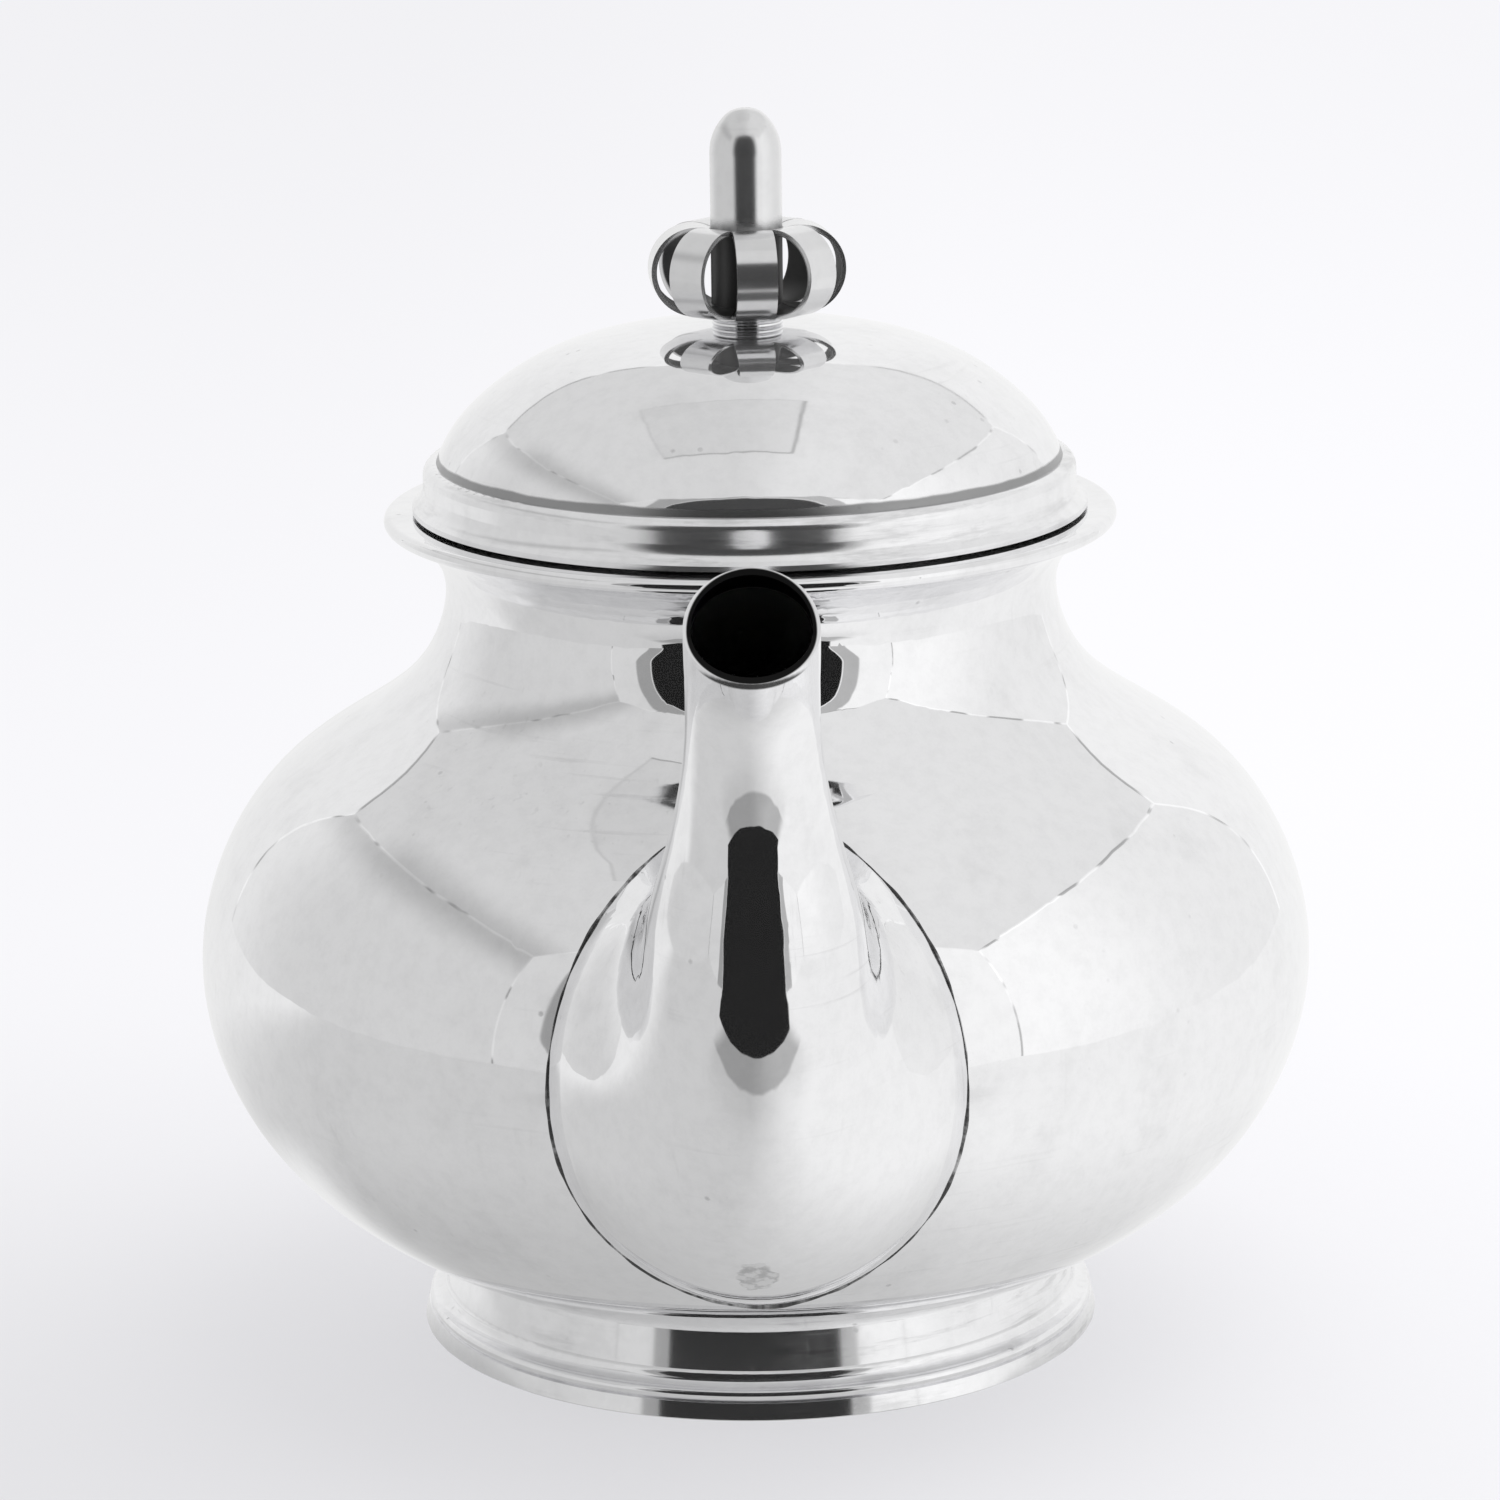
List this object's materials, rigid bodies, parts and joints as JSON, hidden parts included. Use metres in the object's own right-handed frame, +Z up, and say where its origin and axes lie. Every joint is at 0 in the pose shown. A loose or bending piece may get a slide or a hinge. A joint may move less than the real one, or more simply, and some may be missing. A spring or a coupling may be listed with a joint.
{
  "type": "teapot",
  "caption": "Round polished silver teapot with a bulging curved spout, a hinged domed lid with a looped strap finial, a turned foot and a dark wood handle.",
  "frame": {"origin": "middle of the foot's underside, on the table", "axes": "+Z up along the pot's axis, -Y along the spout, +Y along the handle, +X to the right as seen from the spout"},
  "size_m": [0.15, 0.2244, 0.1655],
  "materials": {
    "silver": "polished, lightly worn",
    "dark_wood": "oiled"
  },
  "bodies": {
    "pot": {"body_shell": "silver", "mouth_flange": "silver", "foot_collar": "silver", "foot_plinth": "silver", "spout": "silver", "hinge_body_knuckles": "silver", "hinge_pin": "silver", "handle_grip": "dark_wood", "upper_handle_socket": "silver", "lower_handle_socket": "silver", "upper_handle_pin": "silver", "lower_handle_pin": "silver"},
    "lid": {"lid_dome": "silver", "lid_moulding": "silver", "lid_bezel": "silver", "hinge_lid_knuckle": "silver", "finial_collar": "silver", "finial_calyx": "silver", "finial_post": "silver", "finial_washer": "silver", "finial_nut": "silver"}
  },
  "joints": [
    {"name": "lid_hinge", "type": "hinge", "parent": "pot", "child": "lid", "pos_m": [0, 0.04715, 0.1145], "axis": [-1, 0, 0], "range_deg": [0, 105]}
  ]
}
